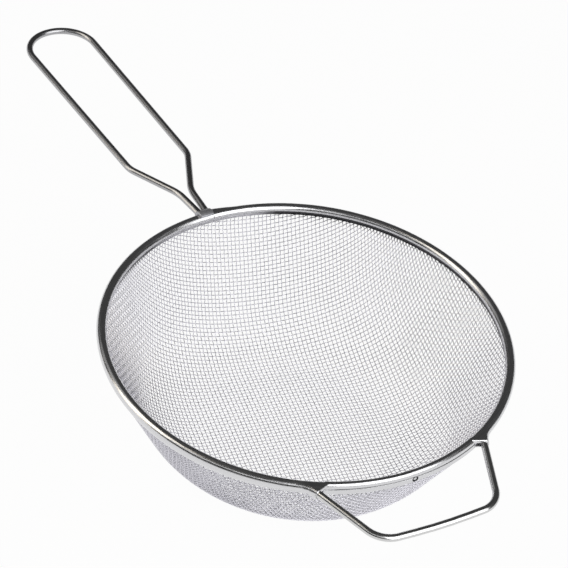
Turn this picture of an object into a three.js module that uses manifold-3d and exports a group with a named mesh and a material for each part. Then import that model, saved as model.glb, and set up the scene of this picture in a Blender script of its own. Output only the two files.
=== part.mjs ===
import * as THREE from 'three';
import { mergeVertices } from 'three/addons/utils/BufferGeometryUtils.js';
import Module from 'manifold-3d';

// Kitchen strainer: a bowl of woven steel cloth, clamped in a rolled rim band.
// A rod runs inside the band and comes out of two mouths in front as the helper handle.
// The long handle is one looped rod, welded onto the back of the rim.
// Millimetres, +Z up. The flat of the bowl stands on z = 0 and the long handle points along +Y.

// Rim band, folded from sheet over a rod, with one hole in the front of its skirt
const RIM_RADIUS = 100; // to the outside of the bead
const RIM_HEIGHT = 64; // from the table to the top of the bead
const ROD = 3.5; // diameter of the rod in the rim and in both handles
const SHEET = 0.4; // thickness of the band's sheet
const SKIRT_DROP = 0.8; // how far flange and skirt reach below the bead
const GROOVE = 0.5; // how far the bead stays outside the skirt where it turns under
const HOLE = 2; // diameter
const HOLE_DROP = 3.9; // from the top of the bead to the middle of the hole
const HOLE_ANGLE = THREE.MathUtils.degToRad(3.9);
const SEAM_TURN = THREE.MathUtils.degToRad(-1.9); // where the band's ends meet, from the long handle
const SEAM_SWELL = 1.7; // the bead stands out by this beside the weld
const SEAM_RUN = 13; // length of that swelling
const LAP = 0.05; // the front of the band lies this deep inside the skin of its sides
const FIT = 0.3; // air between neighbouring pieces

// Woven cloth of the bowl. Each wire stands for six of the real cloth, which has 12 to the inch.
const CLOTH_PITCH = 12.7;
const CLOTH_WIRE = 1; // across the flats of the wire's section
const FOOT_FLAT = CLOTH_WIRE / 10; // cut off the lowest wires, so that the bowl stands
const WEAVE_ANGLE = THREE.MathUtils.degToRad(-13);
const FLOOR_RADIUS = 42.5; // flat part of the bottom
const CORNER_RADIUS = 40; // bend from the bottom to the wall
const LIP_RADIUS = 8; // bend from the wall into the band

// Helper handle, bent from the rim rod. Angles are measured from the middle of the front.
const HELPER_TURN = THREE.MathUtils.degToRad(-3.1);
const HELPER_REACH = 26.5; // from the rim to the corners of the bar
const HELPER_BOW = 1.8; // the middle of the bar lies this far beyond its corners
const HELPER_DROP = 1.2; // bar below the hoop
const HELPER_CORNER = 13; // bend radius beside the bar
const BAR_BEND = 250; // bend radius of the bar itself
const LEG_ANGLE = THREE.MathUtils.degToRad(30.7); // where the rod leaves the hoop
const LEG_TURN = THREE.MathUtils.degToRad(38.7); // how far it turns outward
const LEG_BEND = 14; // bend radius there
const LEG_LEVEL = 5.5; // run through the mouth before the leg dips

// Long handle, with lengths measured outward from the rim to the middle of the rod
const HANDLE_REACH = 172;
const HANDLE_HALF = 18.4; // half width at the far end
const HANDLE_SINK = 2.2; // rod below the top of the bead at the rim
const HANDLE_DROOP = THREE.MathUtils.degToRad(1.1);
const NECK_REACH = 19.8;
const NECK_HALF = 3.5;
const NECK_BEND = 22;
const SHOULDER_REACH = 47;
const SHOULDER_HALF = 16.9;
const SHOULDER_BEND = 14;

// Weld pad, wrapped round the bead between two angles of its section
const WELD_THICK = 1.6;
const WELD_INNER = THREE.MathUtils.degToRad(120);
const WELD_OUTER = THREE.MathUtils.degToRad(-30);
const WELD_EDGE = 0.4; // bevel

// Fineness of the facets
const ROD_SIDES = 10;
const CLOTH_SIDES = 6;
const HOOP_STEPS = 28;
const FLARE_STEPS = 6;
const FRONT_STEPS = 10;
const WELD_STEPS = 8;
const BEND_STEP = THREE.MathUtils.degToRad(9);
const BEND_LEAST = 3; // steps in the shallowest bend

// Sizes that follow from the ones above
const rodRadius = ROD / 2;
const crown = rodRadius + FIT + SHEET;
const hoopRadius = RIM_RADIUS - crown;
const hoopZ = RIM_HEIGHT - crown;
const flangeRadius = RIM_RADIUS - 2 * crown;
const beadBottom = RIM_HEIGHT - 2 * crown;
const bandBottom = beadBottom - SKIRT_DROP;
const rise = (CLOTH_WIRE + FIT) / 2;
const throat = 2 * rise + CLOTH_WIRE + 2 * FIT;
const throatRadius = flangeRadius + SHEET + throat / 2;
const skirtRadius = flangeRadius + 2 * SHEET + throat;
const buttAngle = FIT / 2 / hoopRadius;
const seamAngle = SEAM_TURN - HELPER_TURN;

const wasm = await Module();
wasm.setup();

// Solid of a closed geometry, for cuts and joins
function solidOf(geometry) {
  const bare = geometry.clone();
  bare.deleteAttribute('normal');
  bare.deleteAttribute('uv');
  const merged = mergeVertices(bare, 1e-4);
  const vertProperties = new Float32Array(merged.attributes.position.array);
  const triVerts = new Uint32Array(merged.index.array);
  return new wasm.Manifold(new wasm.Mesh({ numProp: 3, vertProperties, triVerts }));
}

function geometryOf(solid) {
  const { vertProperties, triVerts } = solid.getMesh();
  const geometry = new THREE.BufferGeometry();
  geometry.setAttribute('position', new THREE.BufferAttribute(vertProperties, 3));
  geometry.setIndex(new THREE.BufferAttribute(triVerts, 1));
  geometry.computeVertexNormals();
  return geometry;
}

// A centre line through given points, with the side of the section that faces a given way at each
class Route extends THREE.Curve {
  constructor(points, facings) {
    super();
    this.points = points;
    this.facings = facings;
  }

  getPoint(t) {
    return this.points[Math.round(t * (this.points.length - 1))].clone();
  }

  getPointAt(t) {
    return this.getPoint(t);
  }

  computeFrenetFrames() {
    const last = this.points.length - 1;
    const frames = { tangents: [], normals: [], binormals: [] };
    this.points.forEach((point, i) => {
      const before = this.points[Math.max(i - 1, 0)];
      const after = this.points[Math.min(i + 1, last)];
      const arriving = point.clone().sub(before).normalize();
      const leaving = after.clone().sub(point).normalize();
      const tangent = arriving.add(leaving).normalize();
      const normal = this.facings[i].clone().projectOnPlane(tangent).normalize();
      frames.tangents.push(tangent);
      frames.normals.push(normal);
      frames.binormals.push(tangent.clone().cross(normal));
    });
    return frames;
  }
}

function wireAlong(points, facings, radius, sides, turn) {
  const section = new THREE.Shape();
  const corners = Array.from({ length: sides }, (unused, k) => {
    const angle = turn + (2 * Math.PI * k) / sides;
    return new THREE.Vector2(radius * Math.cos(angle), radius * Math.sin(angle));
  });
  section.setFromPoints(corners);
  const extrudePath = new Route(points, facings);
  const steps = points.length - 1;
  return new THREE.ExtrudeGeometry(section, { steps, extrudePath, bevelEnabled: false });
}

function rodAlong(points) {
  const up = points.map(() => new THREE.Vector3(0, 0, 1));
  return wireAlong(points, up, rodRadius, ROD_SIDES, 0);
}

// Points of a rod bent at its corners, each corner given with the radius of its bend
function bentRod(corners) {
  const points = [corners[0].at];
  for (let i = 1; i < corners.length - 1; i += 1) {
    const { at, bend } = corners[i];
    const arriving = at.clone().sub(corners[i - 1].at).normalize();
    const leaving = corners[i + 1].at.clone().sub(at).normalize();
    const turn = arriving.angleTo(leaving);
    const inward = leaving.projectOnPlane(arriving).normalize();
    const start = at.clone().addScaledVector(arriving, -bend * Math.tan(turn / 2));
    const steps = Math.max(BEND_LEAST, Math.ceil(turn / BEND_STEP));
    for (let k = 0; k <= steps; k += 1) {
      const angle = (turn * k) / steps;
      const point = start.clone().addScaledVector(arriving, bend * Math.sin(angle));
      points.push(point.addScaledVector(inward, bend * (1 - Math.cos(angle))));
    }
  }
  points.push(corners.at(-1).at);
  return points;
}

function mirrored(point) {
  return new THREE.Vector3(-point.x, point.y, point.z);
}

// Rim rod. Angles run from the middle of the front, where the helper handle is.
function onHoop(angle) {
  return new THREE.Vector3(hoopRadius * Math.sin(angle), -hoopRadius * Math.cos(angle), hoopZ);
}

function hoopAngles(end) {
  return Array.from({ length: HOOP_STEPS + 1 }, (unused, k) => {
    return THREE.MathUtils.lerp(LEG_ANGLE, end, k / HOOP_STEPS);
  });
}

const rightAngles = hoopAngles(Math.PI + seamAngle - buttAngle);
const leftAngles = hoopAngles(Math.PI - seamAngle - buttAngle);
const forward = new THREE.Vector3(-Math.cos(LEG_ANGLE), -Math.sin(LEG_ANGLE), 0);
const outward = new THREE.Vector3(Math.sin(LEG_ANGLE), -Math.cos(LEG_ANGLE), 0);

const legBend = Array.from({ length: FLARE_STEPS }, (unused, k) => {
  const angle = (LEG_TURN * (k + 1)) / FLARE_STEPS;
  const point = onHoop(LEG_ANGLE).addScaledVector(forward, LEG_BEND * Math.sin(angle));
  return point.addScaledVector(outward, LEG_BEND * (1 - Math.cos(angle)));
});
const legStart = legBend.at(-1);
const legWay = forward.clone().multiplyScalar(Math.cos(LEG_TURN));
legWay.addScaledVector(outward, Math.sin(LEG_TURN));

// A mouth lies where the rod has passed the narrow front of the band by twice the fit
const legSide = new THREE.Vector3(legWay.y, -legWay.x, 0);
const pastFront = legStart.clone().setZ(0).addScaledVector(legSide, rodRadius + 2 * FIT);
const along = pastFront.dot(legWay);
const toFront = Math.sqrt(along ** 2 - pastFront.lengthSq() + skirtRadius ** 2) - along;
const frontEdge = pastFront.clone().addScaledVector(legWay, toFront);
const mouthAngle = Math.atan2(frontEdge.x, -frontEdge.y);
const legLevel = legStart.clone().addScaledVector(legWay, toFront + LEG_LEVEL);

const barY = -(RIM_RADIUS + HELPER_REACH);
const barZ = hoopZ - HELPER_DROP;
const barHalf = legLevel.x + ((barY - legLevel.y) * legWay.x) / legWay.y;
const rightLeg = [
  { at: legStart },
  { at: legLevel, bend: LEG_BEND },
  { at: new THREE.Vector3(barHalf, barY, barZ), bend: HELPER_CORNER },
];
const leftLeg = rightLeg.map(({ at, bend }) => ({ at: mirrored(at), bend })).reverse();
const barMiddle = { at: new THREE.Vector3(0, barY - HELPER_BOW, barZ), bend: BAR_BEND };
const rimRod = rodAlong([
  ...rightAngles.map(onHoop).reverse(),
  ...legBend.slice(0, -1),
  ...bentRod([...rightLeg, barMiddle, ...leftLeg]),
  ...legBend.slice(0, -1).reverse().map(mirrored),
  ...leftAngles.map(onHoop).map(mirrored),
]);

// Rim band. One side of its folded sheet from the flange over the bead to the skirt, as radius and height.
function skin(depth, beadRadius, beadCrown) {
  const bend = beadCrown - depth;
  const arcZ = RIM_HEIGHT - beadCrown;
  const arcPoint = (centre, angle) => {
    return new THREE.Vector2(centre + bend * Math.cos(angle), arcZ + bend * Math.sin(angle));
  };
  const innerArc = [1, 5 / 6, 2 / 3].map((k) => arcPoint(flangeRadius + beadCrown, k * Math.PI));
  const outerArc = [1 / 2, 1 / 3, 1 / 6, 0].map((k) => arcPoint(beadRadius - beadCrown, k * Math.PI));
  const skirt = [new THREE.Vector2(skirtRadius - depth, bandBottom)];
  if (beadRadius > skirtRadius) {
    const reach = (skirtRadius + GROOVE - beadRadius + beadCrown) / beadCrown;
    const under = Math.acos(THREE.MathUtils.clamp(reach, 0, 0.95));
    outerArc.push(arcPoint(beadRadius - beadCrown, -under / 2));
    outerArc.push(arcPoint(beadRadius - beadCrown, -under));
    skirt.unshift(new THREE.Vector2(skirtRadius - depth, beadBottom + depth));
  }
  return [new THREE.Vector2(flangeRadius + depth, bandBottom), ...innerArc, ...outerArc, ...skirt];
}

// A strip of the band through stations, each with its angle and the outer radius of its bead
function strip(stations, beadCrown, inset) {
  const sections = stations.map(({ bead }) => {
    return [...skin(inset, bead, beadCrown), ...skin(SHEET - inset, bead, beadCrown).reverse()];
  });
  const count = sections[0].length;
  const position = [];
  sections.forEach((section, k) => {
    const { angle } = stations[k];
    section.forEach(({ x, y }) => position.push(x * Math.sin(angle), -x * Math.cos(angle), y));
  });
  const index = [];
  for (let k = 0; k < stations.length - 1; k += 1) {
    for (let m = 0; m < count; m += 1) {
      const here = k * count + m;
      const next = k * count + ((m + 1) % count);
      index.push(here, next, here + count, next, next + count, here + count);
    }
  }
  const end = (stations.length - 1) * count;
  THREE.ShapeUtils.triangulateShape(sections[0], []).forEach((face) => index.push(...face));
  THREE.ShapeUtils.triangulateShape(sections.at(-1), []).forEach(([a, b, c]) => {
    index.push(end + a, end + c, end + b);
  });
  const geometry = new THREE.BufferGeometry();
  geometry.setAttribute('position', new THREE.BufferAttribute(new Float32Array(position), 3));
  geometry.setIndex(index);
  return solidOf(geometry);
}

// The bead swells outward over the rod as it leaves the hoop
const legLine = [onHoop(LEG_ANGLE), ...legBend, legLevel];
function beadOver(angle) {
  const around = new THREE.Vector3(Math.cos(angle), Math.sin(angle), 0);
  const k = legLine.findIndex((point) => point.dot(around) < 0);
  const before = legLine[k - 1];
  const after = legLine[k];
  const way = after.clone().sub(before);
  const share = before.dot(around) / -way.dot(around);
  const radius = before.clone().addScaledVector(way, share).setZ(0).length();
  const slant = Math.abs(way.normalize().dot(around));
  return radius + (rodRadius + FIT) / slant + SHEET;
}

const flare = Array.from({ length: FLARE_STEPS }, (unused, k) => {
  const angle = THREE.MathUtils.lerp(mouthAngle, LEG_ANGLE, k / FLARE_STEPS);
  return { angle, bead: beadOver(angle) };
});
const rightSide = [...flare, ...rightAngles.map((angle) => {
  const fromSeam = (rightAngles.at(-1) - angle) * RIM_RADIUS;
  return { angle, bead: RIM_RADIUS + SEAM_SWELL * Math.max(0, 1 - fromSeam / SEAM_RUN) };
})];
const leftSide = [...flare, ...leftAngles.map((angle) => ({ angle, bead: RIM_RADIUS }))]
  .map(({ angle, bead }) => ({ angle: -angle, bead }))
  .reverse();
const frontHalf = mouthAngle + FIT / skirtRadius;
const front = Array.from({ length: FRONT_STEPS + 1 }, (unused, k) => {
  return { angle: THREE.MathUtils.lerp(-frontHalf, frontHalf, k / FRONT_STEPS), bead: skirtRadius };
});
const hole = new THREE.CylinderGeometry(HOLE / 2, HOLE / 2, 4 * SHEET, 12);
hole.translate(0, -skirtRadius, RIM_HEIGHT - HOLE_DROP);
hole.rotateZ(HOLE_ANGLE);
const band = strip(rightSide, crown, 0)
  .add(strip(leftSide, crown, 0))
  .add(strip(front, (skirtRadius - flangeRadius) / 2, LAP))
  .subtract(solidOf(hole));

// Bowl. Its middle surface turns about Z: flat floor, round corner, straight wall, lip upright in the band.
const floorZ = rise + CLOTH_WIRE / 2 - FOOT_FLAT;
const lipZ = bandBottom - FIT;
const lipCentre = throatRadius - LIP_RADIUS;
const cornerRadius = Math.min(CORNER_RADIUS, throatRadius - FLOOR_RADIUS); // limited by the upright lip
const spanR = lipCentre - FLOOR_RADIUS;
const spanZ = lipZ - floorZ - cornerRadius;
const span = Math.hypot(spanR, spanZ);
const lean = Math.asin((cornerRadius - LIP_RADIUS) / span);
const wallSlope = Math.atan2(spanZ, spanR) + lean;
const wallStart = FLOOR_RADIUS + cornerRadius * wallSlope;
const wallEnd = wallStart + span * Math.cos(lean);
const lipEnd = wallEnd + LIP_RADIUS * (Math.PI / 2 - wallSlope);
const clothTop = hoopZ - rodRadius - FIT;
const clothEnd = lipEnd + clothTop - lipZ;

function arcOf(centreR, centreZ, radius, slope) {
  return { r: centreR + radius * Math.sin(slope), z: centreZ - radius * Math.cos(slope), slope };
}

// Radius, height and slope of the bowl at a length s from its centre
function meridian(s) {
  if (s < FLOOR_RADIUS) {
    return { r: s, z: floorZ, slope: 0 };
  }
  if (s < wallStart) {
    return arcOf(FLOOR_RADIUS, floorZ + cornerRadius, cornerRadius, (s - FLOOR_RADIUS) / cornerRadius);
  }
  if (s < wallEnd) {
    const foot = arcOf(FLOOR_RADIUS, floorZ + cornerRadius, cornerRadius, wallSlope);
    const r = foot.r + (s - wallStart) * Math.cos(wallSlope);
    return { r, z: foot.z + (s - wallStart) * Math.sin(wallSlope), slope: wallSlope };
  }
  if (s < lipEnd) {
    return arcOf(lipCentre, lipZ, LIP_RADIUS, wallSlope + (s - wallEnd) / LIP_RADIUS);
  }
  return { r: throatRadius, z: lipZ + s - lipEnd, slope: Math.PI / 2 };
}

function onBowl({ s, azimuth }) {
  const { r, z } = meridian(s);
  return new THREE.Vector3(r * Math.cos(azimuth), r * Math.sin(azimuth), z);
}

function outOfBowl({ s, azimuth }) {
  const { slope } = meridian(s);
  const level = Math.sin(slope);
  return new THREE.Vector3(level * Math.cos(azimuth), level * Math.sin(azimuth), -Math.cos(slope));
}

// The crossing that lies one pitch from two others: where the draped cloth closes its next mesh
function nextCrossing(one, other, opposite) {
  const first = onBowl(one);
  const second = onBowl(other);
  const guess = first.clone().add(second).sub(onBowl(opposite));
  let s = (one.s + other.s + CLOTH_PITCH) / 2;
  let azimuth = Math.atan2(guess.y, guess.x);
  for (let pass = 0; pass < 20; pass += 1) {
    const { r, slope } = meridian(s);
    const level = Math.cos(slope);
    const upward = new THREE.Vector3(level * Math.cos(azimuth), level * Math.sin(azimuth), Math.sin(slope));
    const around = new THREE.Vector3(-r * Math.sin(azimuth), r * Math.cos(azimuth), 0);
    const here = onBowl({ s, azimuth });
    const fromFirst = here.clone().sub(first);
    const fromSecond = here.clone().sub(second);
    const errors = [fromFirst, fromSecond].map((way) => (way.lengthSq() - CLOTH_PITCH ** 2) / 2);
    const rates = [fromFirst, fromSecond].map((way) => [way.dot(upward), way.dot(around)]);
    const scale = rates[0][0] * rates[1][1] - rates[0][1] * rates[1][0];
    s -= (errors[0] * rates[1][1] - errors[1] * rates[0][1]) / scale;
    azimuth -= (errors[1] * rates[0][0] - errors[0] * rates[1][0]) / scale;
  }
  return { s, azimuth };
}

// Crossings of one quarter of the cloth, the other quarters are turned copies
const quarter = [];
const reach = Math.ceil(clothEnd / CLOTH_PITCH);
for (let i = 0; i <= reach; i += 1) {
  quarter.push([{ s: i * CLOTH_PITCH, azimuth: 0 }]);
  for (let j = 1; j <= reach; j += 1) {
    const below = quarter[i][j - 1];
    const left = i > 0 ? quarter[i - 1][j] : null;
    const held = i > 0 && below && left && Math.min(below.s, left.s) < clothEnd;
    const onAxis = i === 0 ? { s: j * CLOTH_PITCH, azimuth: Math.PI / 2 } : null;
    quarter[i].push(held ? nextCrossing(below, left, quarter[i - 1][j - 1]) : onAxis);
  }
}

function crossing(i, j) {
  if (i > 0 && j >= 0) {
    return quarter[i][j];
  }
  if (i === 0 && j === 0) {
    return quarter[0][0];
  }
  const turned = crossing(j, -i);
  return turned && { s: turned.s, azimuth: turned.azimuth + Math.PI / 2 };
}

// A place between two crossings of a wire, where the bowl has the length s
function between(from, to, s) {
  const share = (s - from.s) / (to.s - from.s);
  const apart = to.azimuth - from.azimuth;
  const swing = Math.atan2(Math.sin(apart), Math.cos(apart));
  const side = THREE.MathUtils.lerp(from.side, to.side, share);
  return { s, azimuth: from.azimuth + share * swing, side };
}

// One wire of the cloth, from crossing to crossing, over one wire and under the next
const slab = new THREE.BoxGeometry(3 * RIM_RADIUS, 3 * RIM_RADIUS, clothTop);
slab.translate(0, 0, clothTop / 2);
const clothSlab = solidOf(slab);
const clothTip = clothEnd + CLOTH_WIRE;
function clothWire(crossingAt, firstSide) {
  const half = (way) => {
    const places = [];
    for (let k = 0; ; k += 1) {
      const place = { ...crossingAt(way * k), side: k % 2 === 0 ? firstSide : -firstSide };
      const last = places.at(-1);
      const entering = last && last.s < lipEnd - CLOTH_WIRE && place.s > lipEnd + CLOTH_WIRE;
      if (entering) {
        places.push(between(last, place, lipEnd));
      }
      if (place.s > clothEnd) {
        places.push(between(last, place, clothTip));
        return places;
      }
      places.push(place);
    }
  };
  const places = [...half(-1).reverse(), ...half(1).slice(1)];
  const facings = places.map(outOfBowl);
  const points = places.map((place, k) => onBowl(place).addScaledVector(facings[k], place.side * rise));
  const radius = CLOTH_WIRE / 2 / Math.cos(Math.PI / CLOTH_SIDES);
  const wire = wireAlong(points, facings, radius, CLOTH_SIDES, Math.PI / CLOTH_SIDES);
  return geometryOf(solidOf(wire).intersect(clothSlab));
}

// Long handle, in its own plane with its length along Y
const weldReach = crown + FIT + WELD_THICK;
const rootReach = hoopRadius + weldReach + FIT - RIM_RADIUS;
const taper = Math.atan2(HANDLE_HALF - SHOULDER_HALF, HANDLE_REACH - SHOULDER_REACH);
const endBend = (HANDLE_HALF - FIT) / Math.tan(Math.PI / 4 + taper / 2);
const handleHalf = [
  { at: new THREE.Vector3((ROD + FIT) / 2, rootReach, 0) },
  { at: new THREE.Vector3(NECK_HALF, NECK_REACH, 0), bend: NECK_BEND },
  { at: new THREE.Vector3(SHOULDER_HALF, SHOULDER_REACH, 0), bend: SHOULDER_BEND },
  { at: new THREE.Vector3(HANDLE_HALF, HANDLE_REACH, 0), bend: endBend },
];
const otherHalf = handleHalf.map(({ at, bend }) => ({ at: mirrored(at), bend })).reverse();
const handleRod = rodAlong(bentRod([...handleHalf, ...otherHalf]));

// Weld between the rod ends and the bead, drawn as a section across the bead
const padArc = (radius) => Array.from({ length: WELD_STEPS + 1 }, (unused, k) => {
  const angle = THREE.MathUtils.lerp(WELD_OUTER, WELD_INNER, k / WELD_STEPS);
  return new THREE.Vector2(radius * Math.cos(angle), radius * Math.sin(angle));
});
const pad = new THREE.Shape([...padArc(weldReach), ...padArc(crown + FIT).reverse()]);
const padWidth = 2 * ROD + FIT;
const padEnd = flangeRadius * Math.sin(-SEAM_TURN) - FIT; // beside the swollen end of the band
const weldPad = new THREE.ExtrudeGeometry(pad, {
  depth: padWidth - 2 * WELD_EDGE,
  bevelThickness: WELD_EDGE,
  bevelSize: WELD_EDGE,
  bevelOffset: -WELD_EDGE,
  bevelSegments: 1,
});
weldPad.translate(0, 0, WELD_EDGE - padWidth / 2);

const sheetSteel = new THREE.MeshStandardMaterial({ color: 0xb4b5b8, roughness: 0.24, metalness: 1 });
const rodSteel = new THREE.MeshStandardMaterial({ color: 0xbfc0c2, roughness: 0.22, metalness: 1 });
const clothSteel = new THREE.MeshStandardMaterial({ color: 0xcfcfd4, roughness: 0.38, metalness: 1 });
const weldSteel = new THREE.MeshStandardMaterial({ color: 0x8f8f8d, roughness: 0.6, metalness: 1 });

function piece(name, geometry, material) {
  const mesh = new THREE.Mesh(geometry, material.clone());
  mesh.name = name;
  return mesh;
}

const rim = new THREE.Group();
rim.name = 'rim';
rim.rotation.z = HELPER_TURN;
rim.add(piece('rim_band', geometryOf(band), sheetSteel), piece('rim_wire', rimRod, rodSteel));

const cloth = new THREE.Group();
cloth.name = 'cloth';
cloth.rotation.z = WEAVE_ANGLE;
const clothHalf = Math.floor(clothEnd / CLOTH_PITCH - 0.5);
for (let line = -clothHalf; line <= clothHalf; line += 1) {
  const label = String(line + clothHalf + 1).padStart(2, '0');
  const side = line % 2 === 0 ? 1 : -1;
  const warp = clothWire((k) => crossing(k, line), side);
  const weft = clothWire((k) => crossing(line, k), -side);
  cloth.add(piece(`warp_wire_${label}`, warp, clothSteel), piece(`weft_wire_${label}`, weft, clothSteel));
}

const handle = new THREE.Group();
handle.name = 'handle';
handle.position.set(0, RIM_RADIUS, RIM_HEIGHT - HANDLE_SINK);
handle.rotation.x = -HANDLE_DROOP;
handle.add(piece('long_handle', handleRod, rodSteel));

const weld = piece('handle_weld', weldPad, weldSteel);
weld.position.set(padEnd - padWidth / 2, hoopRadius, hoopZ);
weld.rotation.set(Math.PI / 2, Math.PI / 2, 0);

const strainer = new THREE.Group();
strainer.name = 'strainer';
strainer.add(rim, cloth, handle, weld);

export default strainer;
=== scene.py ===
import math

import bpy
from mathutils import Matrix, Vector


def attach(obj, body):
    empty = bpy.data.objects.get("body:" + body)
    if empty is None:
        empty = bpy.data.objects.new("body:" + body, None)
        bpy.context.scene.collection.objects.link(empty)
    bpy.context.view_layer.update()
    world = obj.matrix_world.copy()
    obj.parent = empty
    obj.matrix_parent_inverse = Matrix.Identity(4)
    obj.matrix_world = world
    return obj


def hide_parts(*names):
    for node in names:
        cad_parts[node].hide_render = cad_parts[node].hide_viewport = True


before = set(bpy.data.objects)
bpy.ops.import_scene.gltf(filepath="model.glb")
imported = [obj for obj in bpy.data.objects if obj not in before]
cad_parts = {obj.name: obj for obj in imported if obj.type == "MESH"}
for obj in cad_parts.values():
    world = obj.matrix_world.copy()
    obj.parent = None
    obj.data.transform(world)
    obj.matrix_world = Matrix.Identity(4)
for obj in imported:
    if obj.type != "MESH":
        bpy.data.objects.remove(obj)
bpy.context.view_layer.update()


# Bowl cloth. Two sets of bright drawn steel wire, 12 to the inch, woven over and under each other.
# The flat cloth is pressed into a bowl, so its square meshes shear along the diagonals towards the rim.
# Its raw edge stands upright inside the folded rim band, which clamps it all round.
RIM_HEIGHT = 0.064
CLOTH_PITCH = 0.0254 / 12
CLOTH_WIRE = 0.00041
WEAVE_ANGLE = math.radians(-13)
FLOOR_RADIUS = 0.0425
CORNER_RADIUS = 0.0406
LIP_RADIUS = 0.008
THROAT_RADIUS = 0.0966
LIP_HEIGHT = 0.058
CLOTH_TOP = 0.0598
# A wire's end that is a smaller share of the pitch than this has no bend left in it.
SHORTEST_STUB = 0.4

corner_height = CLOTH_WIRE + CORNER_RADIUS
lip_centre = THROAT_RADIUS - LIP_RADIUS
span = math.hypot(lip_centre - FLOOR_RADIUS, LIP_HEIGHT - corner_height)
lean = math.asin((CORNER_RADIUS - LIP_RADIUS) / span)
wall_slope = math.atan2(LIP_HEIGHT - corner_height, lip_centre - FLOOR_RADIUS) + lean
wall_start = FLOOR_RADIUS + CORNER_RADIUS * wall_slope
wall_end = wall_start + span * math.cos(lean)
lip_end = wall_end + LIP_RADIUS * (math.pi / 2 - wall_slope)
cloth_end = lip_end + CLOTH_TOP - LIP_HEIGHT


def bend_at(centre, height, radius, slope):
    """Radius, height and slope on a round part of the bowl's section."""
    return centre + radius * math.sin(slope), height - radius * math.cos(slope), slope


def meridian(s):
    """Radius, height and slope of the cloth at a length s from the middle of the bowl."""
    if s < FLOOR_RADIUS:
        return s, CLOTH_WIRE, 0.0
    if s < wall_start:
        return bend_at(FLOOR_RADIUS, corner_height, CORNER_RADIUS, (s - FLOOR_RADIUS) / CORNER_RADIUS)
    if s < wall_end:
        r, z, slope = bend_at(FLOOR_RADIUS, corner_height, CORNER_RADIUS, wall_slope)
        return r + (s - wall_start) * math.cos(slope), z + (s - wall_start) * math.sin(slope), slope
    if s < lip_end:
        return bend_at(lip_centre, LIP_HEIGHT, LIP_RADIUS, wall_slope + (s - wall_end) / LIP_RADIUS)
    return THROAT_RADIUS, LIP_HEIGHT + s - lip_end, math.pi / 2


def on_bowl(place):
    """Point on the bowl and the direction out of it."""
    r, z, slope = meridian(place[0])
    c, d = math.cos(place[1]), math.sin(place[1])
    return Vector((r * c, r * d, z)), Vector((math.sin(slope) * c, math.sin(slope) * d, -math.cos(slope)))


def next_crossing(one, other, opposite):
    """The crossing one pitch from two others, where the draped cloth closes its next mesh."""
    first, second = on_bowl(one)[0], on_bowl(other)[0]
    guess = first + second - on_bowl(opposite)[0]
    s, azimuth = (one[0] + other[0] + CLOTH_PITCH) / 2, math.atan2(guess.y, guess.x)
    for _ in range(8):
        r, z, slope = meridian(s)
        c, d = math.cos(azimuth), math.sin(azimuth)
        upward = Vector((math.cos(slope) * c, math.cos(slope) * d, math.sin(slope)))
        around = Vector((-r * d, r * c, 0))
        ways = [Vector((r * c, r * d, z)) - end for end in (first, second)]
        e, f = [(way.length_squared - CLOTH_PITCH**2) / 2 for way in ways]
        (a, b), (g, h) = [(way.dot(upward), way.dot(around)) for way in ways]
        s -= (e * h - f * b) / (a * h - b * g)
        azimuth -= (f * a - e * g) / (a * h - b * g)
    return s, azimuth


reach = math.ceil(cloth_end / CLOTH_PITCH)
quarter = {(0, j): (j * CLOTH_PITCH, math.pi / 2) for j in range(reach + 1)}
for i in range(1, reach + 1):
    quarter[i, 0] = (i * CLOTH_PITCH, 0.0)
    for j in range(1, reach + 1):
        below, left = quarter.get((i, j - 1)), quarter.get((i - 1, j))
        if below and left and min(below[0], left[0]) < cloth_end:
            quarter[i, j] = next_crossing(below, left, quarter[i - 1, j - 1])


def crossing(i, j):
    """Any crossing of the cloth, from the quarter that was worked out."""
    turns = 0
    while not (i > 0 and j >= 0) and (i, j) != (0, 0):
        i, j, turns = j, -i, turns + 1
    s, azimuth = quarter[i, j]
    return s, azimuth + turns * math.pi / 2


def half_wire(crossing_on, line, way, side):
    """Points of a wire from the middle of the cloth to its edge, flat on each wire that it crosses."""
    points, k = [], 0
    here = crossing_on(0, line)
    while True:
        k += way
        there = crossing_on(k, line)
        (a, out_a), (b, out_b) = on_bowl(here), on_bowl(there)
        near = a.lerp(b, 0.25) + out_a * (side * CLOTH_WIRE / 2)
        far = a.lerp(b, 0.75) - out_b * (side * CLOTH_WIRE / 2)
        if there[0] > cloth_end:
            share = (cloth_end - here[0]) / (there[0] - here[0])
            edge = a.lerp(b, share)
            if share > SHORTEST_STUB:
                points.append(near)
            points.append(Vector((edge.x, edge.y, CLOTH_TOP)))
            return points
        points += [near, far]
        here, side = there, -side


def pick(*pieces):
    """Selects these objects alone, with the first one active."""
    bpy.ops.object.select_all(action="DESELECT")
    for piece in pieces:
        piece.select_set(True)
    bpy.context.view_layer.objects.active = pieces[0]


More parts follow.
